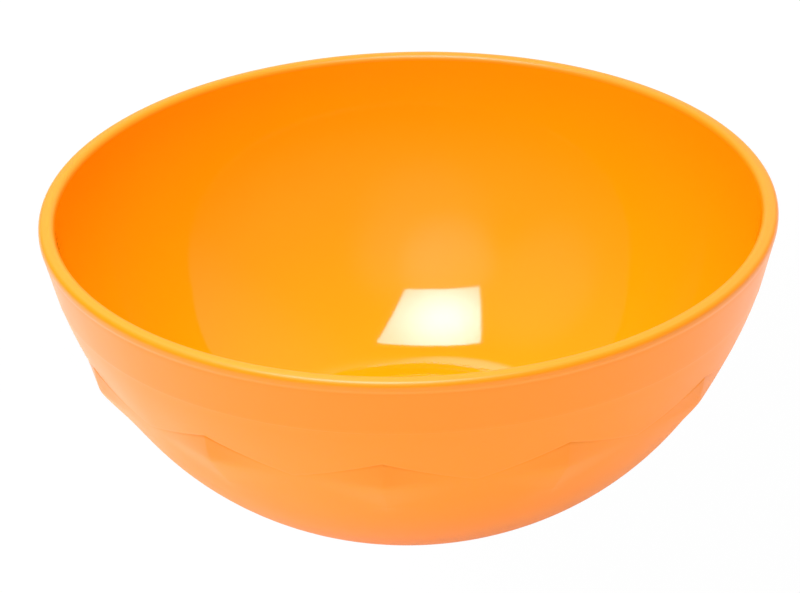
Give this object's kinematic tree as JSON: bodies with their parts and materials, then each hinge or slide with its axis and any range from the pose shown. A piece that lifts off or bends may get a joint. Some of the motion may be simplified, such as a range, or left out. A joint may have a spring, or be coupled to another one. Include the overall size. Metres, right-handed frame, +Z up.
{
  "type": "chip and dip serving bowl",
  "caption": "Deep round one-piece plastic bowl for serving chips beside a dip, with a thick rolled rim, a ring foot and a belt of folded facets around the outside.",
  "frame": {"origin": "middle of the foot's underside, on the bowl's axis, where it stands on the table", "axes": "+Z up along the bowl's axis, out of its mouth; a bump's ridge lies 5 degrees from -Y, towards -X"},
  "size_m": [0.25, 0.25, 0.1025],
  "materials": {
    "orange_plastic": "glossy inside, satin outside, moulded through in one orange"
  },
  "bodies": {
    "root": {"bowl": "orange_plastic"}
  },
  "joints": []
}
